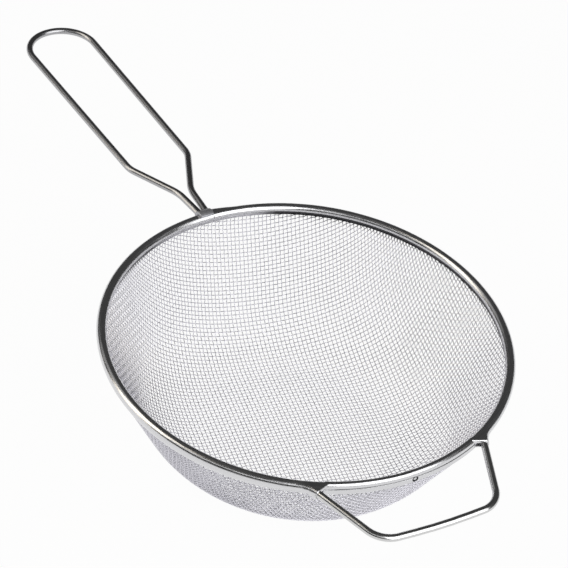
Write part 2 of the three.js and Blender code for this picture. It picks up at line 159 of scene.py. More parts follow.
def woven_wires(name, lines, crossing_on, first_side, nodes):
    """One set of parallel wires as a mesh of round tubes."""
    curve = bpy.data.curves.new(name, "CURVE")
    curve.dimensions = "3D"
    curve.bevel_depth = CLOTH_WIRE / 2
    curve.bevel_resolution = 1
    curve.use_fill_caps = True
    for line in lines:
        side = first_side if line % 2 == 0 else -first_side
        points = half_wire(crossing_on, line, -1, side)[::-1] + half_wire(crossing_on, line, 1, side)
        spline = curve.splines.new("POLY")
        spline.points.add(len(points) - 1)
        spline.points.foreach_set("co", [c for p in points for c in (p.x, p.y, p.z, 1.0)])
    wires = bpy.data.objects.new(name, curve)
    bpy.context.collection.objects.link(wires)
    pick(wires)
    bpy.ops.object.convert(target="MESH")
    wires = bpy.context.object
    wires.rotation_euler.z = WEAVE_ANGLE
    bpy.ops.object.transform_apply(location=True, rotation=True, scale=True)
    bpy.ops.object.mode_set(mode="EDIT")
    bpy.ops.mesh.select_all(action="SELECT")
    bpy.ops.mesh.remove_doubles(threshold=1e-6)
    bpy.ops.mesh.normals_make_consistent(inside=False)
    bpy.ops.object.mode_set(mode="OBJECT")
    bpy.ops.object.shade_smooth_by_angle(angle=math.radians(70))
    wires.data.materials.clear()
    wires.data.materials.append(cloth_steel)
    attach(wires, "root")
    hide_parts(*nodes)


def linear(colour):
    """An sRGB hex colour as linear RGBA."""
    parts = [int(colour[k:k + 2], 16) / 255 for k in (1, 3, 5)]
    return (*[p / 12.92 if p <= 0.04045 else ((p + 0.055) / 1.055) ** 2.4 for p in parts], 1.0)


def add_node(tree, kind, settings=(), inputs=(), links=()):
    """A shader node with its settings, its input values and the sockets that feed it."""
    node = tree.nodes.new(kind)
    for key, value in dict(settings).items():
        setattr(node, key, value)
    for key, value in dict(inputs).items():
        node.inputs[key].default_value = value
    for key, socket in dict(links).items():
        tree.links.new(socket, node.inputs[key])
    return node


def start_material(name, metallic):
    """A new material, its node tree and its main shader."""
    material = bpy.data.materials.new(name)
    material.use_nodes = True
    shader = material.node_tree.nodes["Principled BSDF"]
    shader.inputs["Metallic"].default_value = metallic
    return material, material.node_tree, shader


def round_the_bowl(tree, place):
    """Nodes with a point's coordinates, its angle round the bowl from the front, and the angle's size."""
    axes = add_node(tree, "ShaderNodeSeparateXYZ", {}, {}, {"Vector": place.outputs["Object"]})
    front = add_node(tree, "ShaderNodeMath", {"operation": "MULTIPLY"}, {1: -1.0}, {0: axes.outputs["Y"]})
    around = add_node(
        tree, "ShaderNodeMath", {"operation": "ARCTAN2"}, {},
        {0: axes.outputs["X"], 1: front.outputs["Value"]},
    )
    from_front = add_node(tree, "ShaderNodeMath", {"operation": "ABSOLUTE"}, {}, {0: around.outputs["Value"]})
    return axes, around, from_front


# Bright drawn stainless wire: pulled through a die, so smooth and evenly bright with a soft gloss.
cloth_steel, tree, shader = start_material("drawn_stainless_cloth_wire", 1.0)
# Patches about a centimetre across are a little duller, from the press tool and from washing.
DULL_PATCH = 0.011
place = add_node(tree, "ShaderNodeTexCoord")
patches = add_node(
    tree, "ShaderNodeTexNoise", {}, {"Scale": 1 / DULL_PATCH, "Detail": 3.0},
    {"Vector": place.outputs["Object"]},
)
dull = add_node(
    tree, "ShaderNodeMapRange", {}, {"From Min": 0.35, "From Max": 0.65, "To Min": 0.18, "To Max": 0.3},
    {"Value": patches.outputs["Fac"]},
)
tree.links.new(dull.outputs["Result"], shader.inputs["Roughness"])
# The last millimetres of cloth under the band are painted dark, as painted shade where the band shades the
# cloth and hides the bright floor behind it.
# The painted shade fades out in front, between the handle's mouths, and at the back by the weld.
CLOTH_SHADE_FROM, CLOTH_SHADE_TO = RIM_HEIGHT - 0.0084, RIM_HEIGHT - 0.0058
CLOTH_SHADE_SIDES = math.radians(104)
CLOTH_SHADE_REACH = math.radians(48)
CLOTH_SHADE_FADE = math.radians(10)
axes, _, from_front = round_the_bowl(tree, place)
from_side = add_node(
    tree, "ShaderNodeMath", {"operation": "SUBTRACT"}, {1: CLOTH_SHADE_SIDES}, {0: from_front.outputs["Value"]},
)
off_side = add_node(tree, "ShaderNodeMath", {"operation": "ABSOLUTE"}, {}, {0: from_side.outputs["Value"]})
at_side = add_node(
    tree, "ShaderNodeMapRange", {},
    {"From Min": CLOTH_SHADE_REACH, "From Max": CLOTH_SHADE_REACH + CLOTH_SHADE_FADE, "To Min": 1.0, "To Max": 0.0},
    {"Value": off_side.outputs["Value"]},
)
near_band = add_node(
    tree, "ShaderNodeMapRange", {}, {"From Min": CLOTH_SHADE_FROM, "From Max": CLOTH_SHADE_TO},
    {"Value": axes.outputs["Z"]},
)
cloth_shade = add_node(
    tree, "ShaderNodeMath", {"operation": "MULTIPLY"}, {},
    {0: near_band.outputs["Result"], 1: at_side.outputs["Result"]},
)
# Painted shade: the cloth's colour turns dark grey in the masked band under the rim.
tint = add_node(tree, "ShaderNodeValToRGB", {}, {}, {"Fac": cloth_shade.outputs["Value"]})
tint.color_ramp.elements[0].color = linear("#d6d5dc")
tint.color_ramp.elements[1].color = linear("#2e2e32")
tree.links.new(tint.outputs["Color"], shader.inputs["Base Color"])

cloth_half = math.floor(cloth_end / CLOTH_PITCH - 0.5)
for first, last, part, numbers in ((-cloth_half, -1, "a", range(1, 10)), (0, cloth_half, "b", range(10, 20))):
    lines = range(first, last + 1)
    warp_nodes = [f"warp_wire_{n:02d}" for n in numbers]
    weft_nodes = [f"weft_wire_{n:02d}" for n in numbers]
    woven_wires(f"warp_wires_{part}", lines, crossing, 1, warp_nodes)
    woven_wires(f"weft_wires_{part}", lines, lambda k, line: crossing(line, k), -1, weft_nodes)


# Rim rod. One round stainless rod, bent into a hoop inside the folded band, round the back and both sides.
# It leaves the band through two flared mouths in front and is bent there into the trapezoid helper handle.
# Its two ends butt against each other behind the band's seam.
RIM_RADIUS = 0.0999
ROD = 0.0035
CROWN = 0.00245
HOOP_RADIUS = RIM_RADIUS - CROWN
HOOP_HEIGHT = RIM_HEIGHT - CROWN
HELPER_TURN = math.radians(-3.1)
SEAM_TURN = math.radians(-1.9)
LEG_ANGLE = math.radians(30.7)
LEG_TURN = math.radians(38.7)
LEG_BEND = 0.014
LEG_LEVEL = 0.0048
BAR_REACH = 0.1264
BAR_BOW = 0.0018
BAR_BEND = 0.250
BAR_HEIGHT = HOOP_HEIGHT - 0.0012
BAR_CORNER = 0.013
BUTT_ANGLE = 0.00015 / HOOP_RADIUS
ROD_SIDES = 24
BEND_STEP = math.radians(3)
SHORTEST_PUSH = 1e-6


def start_rod(name, point, heading):
    """A ring of the rod's section, square to its first heading, left selected in edit mode."""
    bpy.ops.object.select_all(action="DESELECT")
    turn = heading.to_track_quat("Z", "Y").to_euler()
    bpy.ops.mesh.primitive_circle_add(vertices=ROD_SIDES, radius=ROD / 2, location=point, rotation=turn)
    rod = bpy.context.object
    rod.name = rod.data.name = name
    bpy.ops.object.transform_apply(location=True, rotation=True, scale=True)
    bpy.ops.object.mode_set(mode="EDIT")
    bpy.ops.mesh.select_all(action="SELECT")
    return rod


def swing_rod(centre, axis, angle):
    """A bend: the selected end ring is spun about an axis. The operator's angles run clockwise."""
    steps = max(3, math.ceil(abs(angle) / BEND_STEP))
    bpy.ops.mesh.spin(steps=steps, angle=-angle, center=centre, axis=axis)


def push_rod(corners):
    """Straights and bends through corner points, each with the radius of its bend."""
    at = corners[0][0]
    for k in range(1, len(corners) - 1):
        corner, bend = corners[k]
        arriving = (corner - corners[k - 1][0]).normalized()
        leaving = (corners[k + 1][0] - corner).normalized()
        turn = arriving.angle(leaving)
        start = corner - arriving * (bend * math.tan(turn / 2))
        if (start - at).length > SHORTEST_PUSH:
            bpy.ops.mesh.extrude_region_move(TRANSFORM_OT_translate={"value": start - at})
        inward = (leaving - arriving * leaving.dot(arriving)).normalized()
        swing_rod(start + inward * bend, arriving.cross(leaving).normalized(), turn)
        at = corner + leaving * (bend * math.tan(turn / 2))
    if (corners[-1][0] - at).length > SHORTEST_PUSH:
        bpy.ops.mesh.extrude_region_move(TRANSFORM_OT_translate={"value": corners[-1][0] - at})


def close_rod(rod):
    """Closes both sawn ends and smooths the rod, but not the edges of its ends."""
    bpy.ops.mesh.select_all(action="SELECT")
    bpy.ops.mesh.fill_holes(sides=0)
    bpy.ops.mesh.select_all(action="SELECT")
    bpy.ops.mesh.normals_make_consistent(inside=False)
    bpy.ops.object.mode_set(mode="OBJECT")
    bpy.ops.object.shade_smooth_by_angle(angle=math.radians(40))


def mirrored(point):
    """The same point on the other side of the handles."""
    return Vector((-point.x, point.y, point.z))


leg_foot = Vector((HOOP_RADIUS * math.sin(LEG_ANGLE), -HOOP_RADIUS * math.cos(LEG_ANGLE), HOOP_HEIGHT))
forward = Vector((-math.cos(LEG_ANGLE), -math.sin(LEG_ANGLE), 0))
outward = Vector((math.sin(LEG_ANGLE), -math.cos(LEG_ANGLE), 0))
leg_way = forward * math.cos(LEG_TURN) + outward * math.sin(LEG_TURN)
leg_knee = leg_foot + forward * (LEG_BEND * math.tan(LEG_TURN / 2))
leg_start = leg_knee + leg_way * (LEG_BEND * math.tan(LEG_TURN / 2))
leg_dip = leg_start + leg_way * LEG_LEVEL
bar_half = leg_dip.x + (-BAR_REACH - leg_dip.y) * leg_way.x / leg_way.y
bar_end = Vector((bar_half, -BAR_REACH, BAR_HEIGHT))
helper_half = [(leg_foot, 0), (leg_knee, LEG_BEND), (leg_dip, LEG_BEND), (bar_end, BAR_CORNER)]
helper_rest = [(mirrored(point), bend) for point, bend in reversed(helper_half)]
bar_middle = (Vector((0, -BAR_REACH - BAR_BOW, BAR_HEIGHT)), BAR_BEND)

right_end = math.pi + SEAM_TURN - HELPER_TURN - BUTT_ANGLE
left_end = math.pi - SEAM_TURN + HELPER_TURN - BUTT_ANGLE
butt_point = Vector((HOOP_RADIUS * math.sin(right_end), -HOOP_RADIUS * math.cos(right_end), HOOP_HEIGHT))
rim_rod = start_rod("rim_rod", butt_point, Vector((-math.cos(right_end), -math.sin(right_end), 0)))
swing_rod((0, 0, HOOP_HEIGHT), (0, 0, 1), LEG_ANGLE - right_end)
push_rod([*helper_half, bar_middle, *helper_rest])
swing_rod((0, 0, HOOP_HEIGHT), (0, 0, 1), LEG_ANGLE - left_end)
close_rod(rim_rod)
rim_rod.rotation_euler.z = HELPER_TURN
bpy.ops.object.transform_apply(location=True, rotation=True, scale=True)

# Polished stainless rod: drawn, then barrel polished, so it mirrors its surroundings with a faint haze.
rod_steel, tree, shader = start_material("polished_stainless_rod", 1.0)
shader.inputs["Base Color"].default_value = linear("#d0d0d0")
ROD_HAZE = 0.006
place = add_node(tree, "ShaderNodeTexCoord")
haze = add_node(
    tree, "ShaderNodeTexNoise", {}, {"Scale": 1 / ROD_HAZE, "Detail": 4.0},
    {"Vector": place.outputs["Object"]},
)
gloss = add_node(
    tree, "ShaderNodeMapRange", {}, {"From Min": 0.3, "From Max": 0.7, "To Min": 0.14, "To Max": 0.26},
    {"Value": haze.outputs["Fac"]},
)
tree.links.new(gloss.outputs["Result"], shader.inputs["Roughness"])
rim_rod.data.materials.append(rod_steel)
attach(rim_rod, "root")
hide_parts("rim_wire")


# Rim band. One strip of thin stainless sheet, folded over the rod into a bead with a flange and a skirt.
# The bead swells over the rod at the two mouths, and is narrow, empty and creased between them.
# Its ends meet at the back, where the right one bulges beside the weld. A hole is punched in the front.
SHEET = 0.0004
FLANGE_RADIUS = RIM_RADIUS - 2 * CROWN
FLANGE_BOTTOM = RIM_HEIGHT - 0.0034
SIDE_FLANGE = 0.0052
SKIRT_RADIUS = 0.0986
SKIRT_FOOT = 0.0009
BAND_BOTTOM = RIM_HEIGHT - 0.0057
BAND_STEP = math.radians(1.6)
FRONT_CROWN = 0.00172
FRONT_ANGLE = math.radians(23.6)
FRONT_INSET = 0.00006
FRONT_FOOT = 0.0010
CREASE = 0.0008
CREASE_HALF = 0.0004
CREASE_DROP = 0.0029
CREASE_SHOULDER = 0.0001
SIDE_ANGLE = math.radians(20)
MOUTH_RUN = 0.0008
MOUTH_ROOM = 0.0003
MOUTH_SAG = 0.16
MOUTH_LIP = 0.0006
MOUTH_DROP = 0.0010
LIP_START = 0.0004
GROOVE_RUN = math.radians(16)
SKIRT_TUCK = 0.0010
SEAM_SWELL = 0.0017
SEAM_RUN = 0.013
HOLE = 0.0030
HOLE_SIDES = 24
HOLE_PUNCH = 0.004
HOLE_ANGLE = math.radians(1.8)
HOLE_DROP = 0.0041
# Depth and narrowing of each step of the hole's turned-in edge.
HOLE_COLLAR = ((0.00015, 0.92), (0.0003, 0.8))


def draw_profile(name, profile):
    """The folded sheet's section at the front, drawn by extruding a single point along it."""
    bpy.ops.object.select_all(action="DESELECT")
    bpy.ops.mesh.primitive_plane_add(size=0.001, location=(0, -profile[0][0], profile[0][1]))
    strip = bpy.context.object
    strip.name = strip.data.name = name
    bpy.ops.object.transform_apply(location=True, rotation=True, scale=True)
    bpy.ops.object.mode_set(mode="EDIT")
    bpy.ops.mesh.select_all(action="SELECT")
    bpy.ops.mesh.merge(type="CENTER")
    for (r, z), (last_r, last_z) in zip(profile[1:], profile):
        bpy.ops.mesh.extrude_region_move(TRANSFORM_OT_translate={"value": (0, last_r - r, z - last_z)})
    return strip


def spin_profile(strip, start, end):
    """The section turned about the bowl's axis between two angles from the front. Returns all its angles."""
    bpy.ops.object.mode_set(mode="OBJECT")
    strip.rotation_euler.z = start
    bpy.ops.object.transform_apply(location=True, rotation=True, scale=True)
    bpy.ops.object.mode_set(mode="EDIT")
    bpy.ops.mesh.select_all(action="SELECT")
    steps = math.ceil((end - start) / BAND_STEP)
    bpy.ops.mesh.spin(steps=steps, angle=start - end, center=(0, 0, 0), axis=(0, 0, 1))
    bpy.ops.mesh.select_all(action="DESELECT")
    bpy.ops.object.mode_set(mode="OBJECT")
    return [start + (end - start) * k / steps for k in range(steps + 1)]


def face_outward(strip):
    """All faces of an open strip turned the same way, with the top of the bead facing up."""
    bpy.ops.object.mode_set(mode="EDIT")
    bpy.ops.mesh.select_all(action="SELECT")
    bpy.ops.mesh.normals_make_consistent(inside=False)
    bpy.ops.object.mode_set(mode="OBJECT")
    if max(strip.data.polygons, key=lambda face: face.center.z).normal.z < 0:
        bpy.ops.object.mode_set(mode="EDIT")
        bpy.ops.mesh.flip_normals()
        bpy.ops.object.mode_set(mode="OBJECT")


def arc(centre, crown, angles, inset=0.0):
    """Points round the top of a bead, at angles measured up from its outer side."""
    z = RIM_HEIGHT - crown
    bend = crown - inset
    return [(centre + bend * math.cos(math.radians(a)), z + bend * math.sin(math.radians(a))) for a in angles]


bead_profile = [
    (HOOP_RADIUS + CROWN * math.cos(math.radians(225)), RIM_HEIGHT - SIDE_FLANGE),
    *arc(HOOP_RADIUS, CROWN, range(225, -50, -15)),
    (SKIRT_RADIUS, BAND_BOTTOM + SKIRT_FOOT),
    (SKIRT_RADIUS, BAND_BOTTOM),
]
front_profile = [
    (FLANGE_RADIUS + FRONT_INSET, FLANGE_BOTTOM),
    *arc(FLANGE_RADIUS + FRONT_CROWN, FRONT_CROWN, range(180, -15, -15), FRONT_INSET),
    (SKIRT_RADIUS - CREASE_SHOULDER, RIM_HEIGHT - CREASE_DROP + CREASE_HALF),
    (SKIRT_RADIUS - CREASE, RIM_HEIGHT - CREASE_DROP),
    (SKIRT_RADIUS - CREASE_SHOULDER, RIM_HEIGHT - CREASE_DROP - CREASE_HALF),
    (SKIRT_RADIUS, BAND_BOTTOM + FRONT_FOOT),
    (SKIRT_RADIUS, BAND_BOTTOM),
]


def fill_groove(side):
    """Lets the bead run down into the skirt in one curve, with a groove left only near the mouths."""
    for vertex in side.data.vertices:
        angle = abs(math.atan2(vertex.co.x, -vertex.co.y))
        reach_out = math.hypot(vertex.co.x, vertex.co.y)
        depth = (HOOP_HEIGHT - vertex.co.z) / (HOOP_HEIGHT - BAND_BOTTOM)
        if reach_out > HOOP_RADIUS and depth > 0:
            share = min(1.0, max(0.0, (angle - LEG_ANGLE) / GROOVE_RUN))
            grow = 1 + share * ((RIM_RADIUS - SKIRT_TUCK * depth**2) / reach_out - 1)
            vertex.co.x *= grow
            vertex.co.y *= grow


def bead_over(angle):
    """Outside of the bead over the leaving rod, found by stepping along the rod's bend to this angle."""
    around = Vector((math.cos(angle), math.sin(angle), 0))
    first_guess = 1.35 * (LEG_ANGLE - angle) * HOOP_RADIUS / LEG_BEND
    bend = min(LEG_TURN, max(0.0, first_guess))
    for _ in range(20):
        at = leg_foot + forward * (LEG_BEND * math.sin(bend)) + outward * (LEG_BEND * (1 - math.cos(bend)))
        way = forward * math.cos(bend) + outward * math.sin(bend)
        bend = min(LEG_TURN, bend + at.dot(around) / (LEG_BEND * -way.dot(around)))
    at += way * max(0.0, at.dot(around) / -way.dot(around))
    return math.hypot(at.x, at.y) + (ROD / 2 + MOUTH_ROOM) / abs(way.dot(around)) + SHEET


def swell_bead(side, angle, swell):
    """Pushes the outer half of the bead outward at one angle, and lets its underside sag a little."""
    sag = MOUTH_SAG * swell
    for inner, push, drop in ((HOOP_RADIUS - 1e-6, swell, 0.0), (HOOP_RADIUS + 1e-6, 0.0, sag)):
        for vertex in side.data.vertices:
            at = math.atan2(vertex.co.x, -vertex.co.y) % (2 * math.pi)
            reach_out = math.hypot(vertex.co.x, vertex.co.y)
            outer = reach_out > inner and vertex.co.z > BAND_BOTTOM + SKIRT_FOOT + 0.00005
            low = drop == 0.0 or vertex.co.z < HOOP_HEIGHT - 1e-5
            vertex.select = abs(at - angle % (2 * math.pi)) < 1e-3 and outer and low
        bpy.ops.object.mode_set(mode="EDIT")
        bpy.ops.transform.translate(value=(push * math.sin(angle), -push * math.cos(angle), -drop))
        bpy.ops.mesh.select_all(action="DESELECT")
        bpy.ops.object.mode_set(mode="OBJECT")


def trim_mouth(side, point, way):
    """Cuts the bead square to the leaving rod and rolls the top of the cut down into a lip."""
    bpy.ops.object.mode_set(mode="EDIT")
    bpy.ops.mesh.select_all(action="SELECT")
    bpy.ops.mesh.bisect(plane_co=point, plane_no=way, clear_outer=True)
    bpy.ops.mesh.select_all(action="DESELECT")
    bpy.ops.object.mode_set(mode="OBJECT")
    for vertex in side.data.vertices:
        on_cut = abs((vertex.co - point).dot(way)) < 1e-6
        vertex.select = on_cut and vertex.co.z > HOOP_HEIGHT + LIP_START
    bpy.ops.object.mode_set(mode="EDIT")
    last = Vector((0, 0, 0))
    for turn in (math.pi / 8, math.pi / 4, math.pi * 3 / 8, math.pi / 2):
        rolled = way * (MOUTH_LIP * math.sin(turn)) - Vector((0, 0, MOUTH_LIP * (1 - math.cos(turn))))
        bpy.ops.mesh.extrude_region_move(TRANSFORM_OT_translate={"value": rolled - last})
        last = rolled
    bpy.ops.mesh.extrude_region_move(TRANSFORM_OT_translate={"value": (0, 0, -MOUTH_DROP)})
    bpy.ops.mesh.select_all(action="DESELECT")
    bpy.ops.object.mode_set(mode="OBJECT")


mouth = leg_start + leg_way * MOUTH_RUN
sides = []
for name, hand, start, end in (
    ("band_right", 1, SIDE_ANGLE, right_end),
    ("band_left", -1, -left_end, -SIDE_ANGLE),
):
    side = draw_profile(name, bead_profile)
    stations = spin_profile(side, start, end)
    fill_groove(side)
    for angle in stations:
        from_seam = (right_end - angle) * RIM_RADIUS
        if abs(angle) < LEG_ANGLE:
            swell_bead(side, angle, bead_over(abs(angle)) - RIM_RADIUS)
        elif hand == 1 and from_seam < SEAM_RUN:
            swell_bead(side, angle, SEAM_SWELL * (1 - from_seam / SEAM_RUN))
    if hand == 1:
        trim_mouth(side, mouth, leg_way)
    else:
        trim_mouth(side, mirrored(mouth), mirrored(leg_way))
    face_outward(side)
    sides.append(side)
band_front = draw_profile("band_front", front_profile)
spin_profile(band_front, -FRONT_ANGLE, FRONT_ANGLE)
face_outward(band_front)

for strip in (*sides, band_front):
    pick(strip)
    wall = strip.modifiers.new("sheet", "SOLIDIFY")
    wall.thickness = SHEET
    wall.offset = -1.0
    wall.use_even_offset = True
    bpy.ops.object.modifier_apply(modifier="sheet")

bpy.ops.object.select_all(action="DESELECT")
hole_way = Vector((math.sin(HOLE_ANGLE), -math.cos(HOLE_ANGLE), 0))
hole_place = hole_way * SKIRT_RADIUS + Vector((0, 0, RIM_HEIGHT - HOLE_DROP))
hole_turn = (math.pi / 2, 0, HOLE_ANGLE)
bpy.ops.mesh.primitive_cylinder_add(
    vertices=HOLE_SIDES, radius=HOLE / 2, depth=HOLE_PUNCH, location=hole_place, rotation=hole_turn,
)
punch = bpy.context.object
bpy.ops.object.transform_apply(location=True, rotation=True, scale=True)
pick(band_front)
cut = band_front.modifiers.new("hole", "BOOLEAN")
cut.object = punch
cut.operation = "DIFFERENCE"
cut.solver = "EXACT"
bpy.ops.object.modifier_apply(modifier="hole")
bpy.data.objects.remove(punch)

pick(*sides, band_front)
bpy.ops.object.join()
rim_band = bpy.context.object
rim_band.name = rim_band.data.name = "rim_band_sheet"

# The hole's edge is turned in, and the fold's inner leaf closes it behind.
bpy.ops.object.select_all(action="DESELECT")
bpy.ops.mesh.primitive_circle_add(
    vertices=HOLE_SIDES, radius=HOLE / 2, location=hole_place, rotation=hole_turn,
)
collar = bpy.context.object
bpy.ops.object.transform_apply(location=True, rotation=True, scale=True)
bpy.ops.object.mode_set(mode="EDIT")
bpy.ops.mesh.select_all(action="SELECT")
collar_end = hole_place.copy()
for depth, narrow in HOLE_COLLAR:
    bpy.ops.mesh.extrude_region_move(TRANSFORM_OT_translate={"value": hole_way * -depth})
    collar_end -= hole_way * depth
    bpy.ops.transform.resize(value=(narrow, narrow, narrow), center_override=collar_end)
bpy.ops.mesh.edge_face_add()
bpy.ops.mesh.select_all(action="SELECT")
bpy.ops.mesh.normals_make_consistent(inside=True)
bpy.ops.object.mode_set(mode="OBJECT")
wall = collar.modifiers.new("sheet", "SOLIDIFY")
wall.thickness = SHEET / 2
wall.offset = -1.0
bpy.ops.object.modifier_apply(modifier="sheet")
pick(rim_band, collar)
bpy.ops.object.join()
rim_band.rotation_euler.z = HELPER_TURN
bpy.ops.object.transform_apply(location=True, rotation=True, scale=True)
bpy.ops.object.shade_smooth_by_angle(angle=math.radians(38))

# Polished stainless sheet: rolled bright, with fine lines along the strip from the folding rollers.
# The real lines are finer than a tenth of a millimetre, and are drawn wider so that they show.
band_steel, tree, shader = start_material("polished_stainless_sheet", 1.0)
ROLLER_LINE_WIDTH = 0.0004
ROLLER_LINE_LENGTH = 0.009
place = add_node(tree, "ShaderNodeTexCoord")
axes, around, from_front = round_the_bowl(tree, place)
in_plan = add_node(tree, "ShaderNodeCombineXYZ", {}, {}, {"X": axes.outputs["X"], "Y": axes.outputs["Y"]})
from_axis = add_node(
    tree, "ShaderNodeVectorMath", {"operation": "LENGTH"}, {}, {0: in_plan.outputs["Vector"]},
)
strip_place = add_node(
    tree, "ShaderNodeCombineXYZ", {}, {},
    {"X": around.outputs["Value"], "Y": from_axis.outputs["Value"], "Z": axes.outputs["Z"]},
)
line_scale = (RIM_RADIUS / ROLLER_LINE_LENGTH, 1 / ROLLER_LINE_WIDTH, 1 / ROLLER_LINE_WIDTH)
line_place = add_node(
    tree, "ShaderNodeVectorMath", {"operation": "MULTIPLY"}, {1: line_scale},
    {0: strip_place.outputs["Vector"]},
)
lines = add_node(
    tree, "ShaderNodeTexNoise", {}, {"Scale": 1.0, "Detail": 3.0}, {"Vector": line_place.outputs["Vector"]},
)
gloss = add_node(
    tree, "ShaderNodeMapRange", {}, {"From Min": 0.3, "From Max": 0.7, "To Min": 0.16, "To Max": 0.32},
    {"Value": lines.outputs["Fac"]},
)
tree.links.new(gloss.outputs["Result"], shader.inputs["Roughness"])
scratches = add_node(
    tree, "ShaderNodeBump", {}, {"Strength": 0.5, "Distance": 0.00004}, {"Height": lines.outputs["Fac"]},
)
tree.links.new(scratches.outputs["Normal"], shader.inputs["Normal"])
# The sheet is painted dark under the bead's inner edge, as painted shade where the bead curls down over the
# cloth; it fades out at the back, by the weld.
# The crease under the front of the bead and a ring in the hole are painted dark too, as painted shade in
# these recesses.
EDGE_SHADE_DROP = 0.0004
EDGE_SHADE_INSET = 0.0010
EDGE_SHADE_FADE = 0.0004
SHADE_GONE_FROM, SHADE_GONE_TO = math.radians(158), math.radians(166)
CREASE_LINE = 0.0002
CREASE_FADE = 0.0002
CREASE_SHADE = 0.75
under = add_node(
    tree, "ShaderNodeMapRange", {},
    {"From Min": HOOP_HEIGHT - EDGE_SHADE_DROP, "From Max": HOOP_HEIGHT, "To Min": 1.0, "To Max": 0.0},
    {"Value": axes.outputs["Z"]},
)
inner_edge = HOOP_RADIUS - EDGE_SHADE_INSET
inside = add_node(
    tree, "ShaderNodeMapRange", {},
    {"From Min": inner_edge, "From Max": inner_edge + EDGE_SHADE_FADE, "To Min": 1.0, "To Max": 0.0},
    {"Value": from_axis.outputs["Value"]},
)
shade_kept = add_node(
    tree, "ShaderNodeMapRange", {},
    {"From Min": SHADE_GONE_FROM, "From Max": SHADE_GONE_TO, "To Min": 1.0, "To Max": 0.0},
    {"Value": from_front.outputs["Value"]},
)
tucked = add_node(
    tree, "ShaderNodeMath", {"operation": "MULTIPLY"}, {},
    {0: under.outputs["Result"], 1: inside.outputs["Result"]},
)
edge_shade = add_node(
    tree, "ShaderNodeMath", {"operation": "MULTIPLY"}, {},
    {0: tucked.outputs["Value"], 1: shade_kept.outputs["Result"]},
)
# The painted shade ring in the hole starts and ends at shares of the hole's width.
RING_FROM, RING_TO = 0.26, 0.50
RING_FADE_IN, RING_FADE_OUT = 0.04, 0.06
hole_centre = Matrix.Rotation(HELPER_TURN, 3, "Z") @ hole_place
from_hole = add_node(
    tree, "ShaderNodeVectorMath", {"operation": "DISTANCE"}, {1: hole_centre}, {0: place.outputs["Object"]},
)
hole_shade_edge = add_node(
    tree, "ShaderNodeMapRange", {},
    {"From Min": RING_TO * HOLE, "From Max": (RING_TO + RING_FADE_OUT) * HOLE, "To Min": 1.0, "To Max": 0.0},
    {"Value": from_hole.outputs["Value"]},
)
hole_leaf = add_node(
    tree, "ShaderNodeMapRange", {},
    {"From Min": RING_FROM * HOLE, "From Max": (RING_FROM + RING_FADE_IN) * HOLE},
    {"Value": from_hole.outputs["Value"]},
)
hole_shade_ring = add_node(
    tree, "ShaderNodeMath", {"operation": "MULTIPLY"}, {},
    {0: hole_shade_edge.outputs["Result"], 1: hole_leaf.outputs["Result"]},
)
# Painted shade: a dark line along the crease under the front of the bead, between the handle's mouths.
up_crease = add_node(
    tree, "ShaderNodeMath", {"operation": "SUBTRACT"}, {1: RIM_HEIGHT - CREASE_DROP}, {0: axes.outputs["Z"]},
)
off_crease = add_node(tree, "ShaderNodeMath", {"operation": "ABSOLUTE"}, {}, {0: up_crease.outputs["Value"]})
in_crease = add_node(
    tree, "ShaderNodeMapRange", {},
    {"From Min": CREASE_LINE, "From Max": CREASE_LINE + CREASE_FADE, "To Min": 1.0, "To Max": 0.0},
    {"Value": off_crease.outputs["Value"]},
)
outside = add_node(
    tree, "ShaderNodeMapRange", {},
    {"From Min": HOOP_RADIUS, "From Max": HOOP_RADIUS + 0.0001}, {"Value": from_axis.outputs["Value"]},
)
between = add_node(
    tree, "ShaderNodeMapRange", {},
    {"From Min": FRONT_ANGLE, "From Max": FRONT_ANGLE + 0.01, "To Min": CREASE_SHADE, "To Max": 0.0},
    {"Value": from_front.outputs["Value"]},
)
crease_line = add_node(
    tree, "ShaderNodeMath", {"operation": "MULTIPLY"}, {},
    {0: in_crease.outputs["Result"], 1: outside.outputs["Result"]},
)
crease_shade = add_node(
    tree, "ShaderNodeMath", {"operation": "MULTIPLY"}, {},
    {0: crease_line.outputs["Value"], 1: between.outputs["Result"]},
)
# All painted shade on the sheet, from the crease line, the ring in the hole and the band under the bead's
# inner edge, turns its polished grey to near black.
front_shade = add_node(
    tree, "ShaderNodeMath", {"operation": "MAXIMUM"}, {},
    {0: crease_shade.outputs["Value"], 1: hole_shade_ring.outputs["Value"]},
)
painted_shade = add_node(
    tree, "ShaderNodeMath", {"operation": "MAXIMUM"}, {},
    {0: edge_shade.outputs["Value"], 1: front_shade.outputs["Value"]},
)
tint = add_node(tree, "ShaderNodeValToRGB", {}, {}, {"Fac": painted_shade.outputs["Value"]})
tint.color_ramp.elements[0].color = linear("#d5d5d7")
tint.color_ramp.elements[1].color = linear("#2c2c2f")
tree.links.new(tint.outputs["Color"], shader.inputs["Base Color"])
rim_band.data.materials.append(band_steel)
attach(rim_band, "root")
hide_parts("rim_band")


# Long handle. One stainless rod of the same thickness, bent into a narrow loop with a neck.
# Its two ends lie side by side at the rim, where they are pressed and welded onto the bead.
HANDLE_ROOT = RIM_HEIGHT - 0.0022
HANDLE_DROOP = math.radians(1.1)
ROOT_REACH = 0.0005
ROOT_HALF = 0.0019
PRESSED = 0.006
PRESSED_WIDE = 1.12
PRESSED_HIGH = 0.8
# Half the loop's width, the distance from the rim and the radius of the bend.
NECK = (0.0035, 0.0198, 0.022)
SHOULDER = (0.0169, 0.047, 0.014)
END = (0.0184, 0.1719)
END_FLAT = 0.0003


def in_handle(half, along):
    """A point of the handle's plane, which droops a little from the rim."""
    y = RIM_RADIUS + along * math.cos(HANDLE_DROOP)
    return Vector((half, y, HANDLE_ROOT - along * math.sin(HANDLE_DROOP)))


